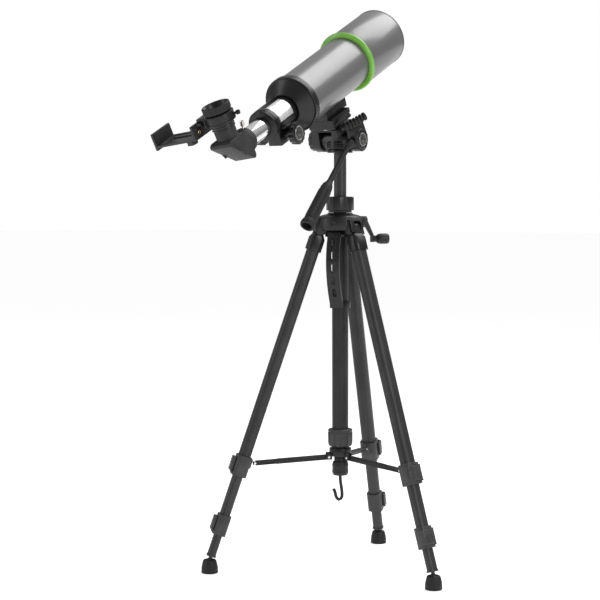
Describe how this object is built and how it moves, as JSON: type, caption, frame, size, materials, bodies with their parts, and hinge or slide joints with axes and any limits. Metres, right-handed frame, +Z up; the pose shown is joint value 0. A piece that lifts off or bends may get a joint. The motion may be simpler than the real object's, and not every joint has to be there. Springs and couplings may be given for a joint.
{
  "type": "telescope on tripod",
  "caption": "Short refractor telescope with star diagonal, eyepiece and phone adapter on a pan head and folding three-section tripod.",
  "frame": {"origin": "middle of the bounding box at the floor, under the feet", "axes": "+Z up, the telescope tube heading along +Y and raised above the horizon"},
  "size_m": [0.4006, 0.5934, 0.9386],
  "materials": {
    "grey_paint": "gloss",
    "green_ring": "gloss",
    "black_plastic": "satin",
    "charcoal_plastic": "satin",
    "dark_aluminium": "satin anodised",
    "bright_chrome": "polished",
    "rubber": "matt",
    "lens_glass": "clear"
  },
  "bodies": {
    "base": {"shoulder": "black_plastic", "carry_handle": "black_plastic", "centre_tube": "dark_aluminium", "end_cap_hook": "black_plastic"},
    "collar": {"collar_lock": "black_plastic"},
    "column": {"column": "dark_aluminium"},
    "crank": {"crank": "black_plastic"},
    "crank_grip": {"crank_grip": "black_plastic"},
    "hub": {"hub_ring": "black_plastic"},
    "hub_knob": {"hub_lock_knob": "charcoal_plastic"},
    "pan": {"pan_base": "black_plastic"},
    "tilt": {"tilt_body": "black_plastic"},
    "tilt_knob": {"tilt_knob": "black_plastic"},
    "handle": {"pan_handle": "rubber"},
    "side_grip": {"side_tilt_grip": "rubber"},
    "optics": {"platform": "black_plastic", "mount_shoe": "black_plastic", "main_tube": "grey_paint", "dew_shield": "grey_paint", "accent_ring": "green_ring", "objective_lens": "lens_glass", "rear_cell": "black_plastic", "focuser_housing": "black_plastic"},
    "drawtube": {"drawtube": "bright_chrome"},
    "focus": {"focus_knobs": "black_plastic"},
    "diagonal": {"diagonal": "charcoal_plastic", "eyepiece": "black_plastic"},
    "adapter": {"phone_clamp": "charcoal_plastic"},
    "cradle": {"phone_cradle": "charcoal_plastic"},
    "jaw": {"phone_jaw": "charcoal_plastic"},
    "leg_a": {"leg_a_top": "black_plastic", "leg_a_upper_tube": "dark_aluminium", "leg_a_clamp_1": "charcoal_plastic"},
    "lever_a1": {"leg_a_lever_1": "black_plastic"},
    "mid_a": {"leg_a_mid_tube": "dark_aluminium", "leg_a_clamp_2": "charcoal_plastic"},
    "lever_a2": {"leg_a_lever_2": "black_plastic"},
    "low_a": {"leg_a_low_tube": "dark_aluminium"},
    "foot_a": {"leg_a_foot": "rubber"},
    "strut_a": {"strut_a": "dark_aluminium"},
    "leg_b": {"leg_b_top": "black_plastic", "leg_b_upper_tube": "dark_aluminium", "leg_b_clamp_1": "charcoal_plastic"},
    "lever_b1": {"leg_b_lever_1": "black_plastic"},
    "mid_b": {"leg_b_mid_tube": "dark_aluminium", "leg_b_clamp_2": "charcoal_plastic"},
    "lever_b2": {"leg_b_lever_2": "black_plastic"},
    "low_b": {"leg_b_low_tube": "dark_aluminium"},
    "foot_b": {"leg_b_foot": "rubber"},
    "strut_b": {"strut_b": "dark_aluminium"},
    "leg_c": {"leg_c_top": "black_plastic", "leg_c_upper_tube": "dark_aluminium", "leg_c_clamp_1": "charcoal_plastic"},
    "lever_c1": {"leg_c_lever_1": "black_plastic"},
    "mid_c": {"leg_c_mid_tube": "dark_aluminium", "leg_c_clamp_2": "charcoal_plastic"},
    "lever_c2": {"leg_c_lever_2": "black_plastic"},
    "low_c": {"leg_c_low_tube": "dark_aluminium"},
    "foot_c": {"leg_c_foot": "rubber"},
    "strut_c": {"strut_c": "dark_aluminium"}
  },
  "joints": [
    {"name": "collar_turn", "type": "hinge", "parent": "base", "child": "collar", "pos_m": [-0.0259, 0.06755, 0.611], "axis": [0, 0, 1], "range_deg": [0, 90]},
    {"name": "column_height", "type": "slide", "parent": "base", "child": "column", "axis": [0, 0, 1], "range_m": [-0.06, 0.18]},
    {"name": "crank_turn", "type": "hinge", "parent": "base", "child": "crank", "pos_m": [0.00307, 0.09513, 0.581], "axis": [0.7242, 0.6896, 0], "range_deg": [-500, 1500]},
    {"name": "crank_grip_spin", "type": "hinge", "parent": "crank", "child": "crank_grip", "pos_m": [0.0248, 0.11582, 0.5525], "axis": [0.7242, 0.6896, 0], "continuous": true},
    {"name": "hub_height", "type": "slide", "parent": "base", "child": "hub", "axis": [0, 0, 1], "range_m": [0, 0.106]},
    {"name": "hub_knob_turn", "type": "hinge", "parent": "hub", "child": "hub_knob", "pos_m": [-0.0259, 0.06755, 0.22], "axis": [0, 0, 1], "range_deg": [0, 90]},
    {"name": "leg_a_fold", "type": "hinge", "parent": "base", "child": "leg_a", "pos_m": [-0.04983, 0.04483, 0.572], "axis": [0.6884, -0.7254, 0], "range_deg": [0, 17.5]},
    {"name": "leg_a_lever_1_flip", "type": "hinge", "parent": "leg_a", "child": "lever_a1", "pos_m": [-0.15157, -0.06522, 0.18212], "axis": [0.235, 0.223, 0.9461], "range_deg": [0, 100]},
    {"name": "leg_a_lever_2_flip", "type": "hinge", "parent": "mid_a", "child": "lever_a2", "pos_m": [-0.17577, -0.08598, 0.08416], "axis": [0.235, 0.223, 0.9461], "range_deg": [0, 100]},
    {"name": "leg_a_mid_slide", "type": "slide", "parent": "leg_a", "child": "mid_a", "axis": [-0.235, -0.223, -0.9461], "range_m": [-0.06, 0.25]},
    {"name": "leg_a_low_slide", "type": "slide", "parent": "mid_a", "child": "low_a", "axis": [-0.235, -0.223, -0.9461], "range_m": [-0.03, 0.25]},
    {"name": "leg_a_foot_tilt", "type": "hinge", "parent": "low_a", "child": "foot_a", "pos_m": [-0.18646, -0.08482, 0.02185], "axis": [0.6884, -0.7254, 0], "range_deg": [-20, 20]},
    {"name": "strut_a_swing", "type": "hinge", "parent": "hub", "child": "strut_a", "pos_m": [-0.04004, 0.05413, 0.188], "axis": [0.6884, -0.7254, 0], "range_deg": [0, 84.5]},
    {"name": "leg_b_fold", "type": "hinge", "parent": "base", "child": "leg_b", "pos_m": [0.00575, 0.05818, 0.572], "axis": [0.284, 0.9588, 0], "range_deg": [0, 17.5]},
    {"name": "leg_b_lever_1_flip", "type": "hinge", "parent": "leg_b", "child": "lever_b1", "pos_m": [0.15192, 0.0251, 0.18212], "axis": [-0.3106, 0.092, 0.9461], "range_deg": [0, 100]},
    {"name": "leg_b_lever_2_flip", "type": "hinge", "parent": "mid_b", "child": "lever_b2", "pos_m": [0.18201, 0.01452, 0.08416], "axis": [-0.3106, 0.092, 0.9461], "range_deg": [0, 100]},
    {"name": "leg_b_mid_slide", "type": "slide", "parent": "leg_b", "child": "mid_b", "axis": [0.3106, -0.092, -0.9461], "range_m": [-0.06, 0.25]},
    {"name": "leg_b_low_slide", "type": "slide", "parent": "mid_b", "child": "low_b", "axis": [0.3106, -0.092, -0.9461], "range_m": [-0.03, 0.25]},
    {"name": "leg_b_foot_tilt", "type": "hinge", "parent": "low_b", "child": "foot_b", "pos_m": [0.18635, 0.00468, 0.02185], "axis": [0.284, 0.9588, 0], "range_deg": [-20, 20]},
    {"name": "strut_b_swing", "type": "hinge", "parent": "hub", "child": "strut_b", "pos_m": [-0.0072, 0.06201, 0.188], "axis": [0.284, 0.9588, 0], "range_deg": [0, 84.5]},
    {"name": "leg_c_fold", "type": "hinge", "parent": "base", "child": "leg_c", "pos_m": [-0.0336, 0.09964, 0.572], "axis": [-0.9724, -0.2334, 0], "range_deg": [0, 17.5]},
    {"name": "leg_c_lever_1_flip", "type": "hinge", "parent": "leg_c", "child": "lever_c1", "pos_m": [-0.07804, 0.24277, 0.18212], "axis": [0.0756, -0.315, 0.9461], "range_deg": [0, 100]},
    {"name": "leg_c_lever_2_flip", "type": "hinge", "parent": "mid_c", "child": "lever_c2", "pos_m": [-0.08392, 0.27411, 0.08416], "axis": [0.0756, -0.315, 0.9461], "range_deg": [0, 100]},
    {"name": "leg_c_mid_slide", "type": "slide", "parent": "leg_c", "child": "mid_c", "axis": [-0.0756, 0.315, -0.9461], "range_m": [-0.06, 0.25]},
    {"name": "leg_c_low_slide", "type": "slide", "parent": "mid_c", "child": "low_c", "axis": [-0.0756, 0.315, -0.9461], "range_m": [-0.03, 0.25]},
    {"name": "leg_c_foot_tilt", "type": "hinge", "parent": "low_c", "child": "foot_c", "pos_m": [-0.07757, 0.28279, 0.02185], "axis": [-0.9724, -0.2334, 0], "range_deg": [-20, 20]},
    {"name": "strut_c_swing", "type": "hinge", "parent": "hub", "child": "strut_c", "pos_m": [-0.03045, 0.08651, 0.188], "axis": [-0.9724, -0.2334, 0], "range_deg": [0, 84.5]},
    {"name": "pan_turn", "type": "hinge", "parent": "column", "child": "pan", "pos_m": [-0.0259, 0.06755, 0.705], "axis": [0, 0, 1], "continuous": true},
    {"name": "tilt_swing", "type": "hinge", "parent": "pan", "child": "tilt", "pos_m": [-0.0259, 0.06755, 0.717], "axis": [1, 0, 0], "range_deg": [-50, 15]},
    {"name": "tilt_knob_turn", "type": "hinge", "parent": "tilt", "child": "tilt_knob", "pos_m": [-0.0729, 0.06755, 0.717], "axis": [1, 0, 0], "range_deg": [0, 90]},
    {"name": "handle_twist", "type": "hinge", "parent": "tilt", "child": "handle", "pos_m": [0.00911, 0.04415, 0.7137], "axis": [0, 0.6947, 0.7193], "range_deg": [0, 90]},
    {"name": "side_grip_twist", "type": "hinge", "parent": "tilt", "child": "side_grip", "pos_m": [-0.0003, 0.02099, 0.72905], "axis": [0.5844, 0.6512, 0.4842], "range_deg": [0, 90]},
    {"name": "side_tilt", "type": "hinge", "parent": "tilt", "child": "optics", "pos_m": [-0.05189, 0.05318, 0.74781], "axis": [0, -0.9063, -0.4226], "range_deg": [0, 85]},
    {"name": "drawtube_slide", "type": "slide", "parent": "optics", "child": "drawtube", "axis": [0, 0.9063, 0.4226], "range_m": [-0.02, 0.03]},
    {"name": "focus_knob_turn", "type": "hinge", "parent": "optics", "child": "focus", "pos_m": [-0.02289, -0.12029, 0.72088], "axis": [1, 0, 0], "range_deg": [-170, 250]},
    {"name": "diagonal_turn", "type": "hinge", "parent": "drawtube", "child": "diagonal", "pos_m": [-0.02289, -0.21508, 0.70647], "axis": [0, 0.9063, 0.4226], "continuous": true},
    {"name": "adapter_swing", "type": "hinge", "parent": "diagonal", "child": "adapter", "pos_m": [-0.02994, -0.26852, 0.74062], "axis": [-0.1305, -0.419, 0.8986], "range_deg": [-60, 60]},
    {"name": "cradle_slide", "type": "slide", "parent": "adapter", "child": "cradle", "axis": [0.9914, -0.0552, 0.1183], "range_m": [-0.008, 0]},
    {"name": "jaw_slide", "type": "slide", "parent": "cradle", "child": "jaw", "axis": [0.9914, -0.0552, 0.1183], "range_m": [-0.03, 0]}
  ],
  "couplings": [
    {"joint": "crank_turn", "follows": "column_height", "rad_per_m": 142.86},
    {"joint": "hub_height", "follows": "leg_a_fold", "m_per_rad": 0.3441},
    {"joint": "strut_a_swing", "follows": "leg_a_fold", "ratio": 4.8229},
    {"joint": "leg_b_fold", "follows": "leg_a_fold", "ratio": 1},
    {"joint": "strut_b_swing", "follows": "leg_a_fold", "ratio": 4.8229},
    {"joint": "leg_c_fold", "follows": "leg_a_fold", "ratio": 1},
    {"joint": "strut_c_swing", "follows": "leg_a_fold", "ratio": 4.8229},
    {"joint": "focus_knob_turn", "follows": "drawtube_slide", "rad_per_m": 142.86}
  ]
}
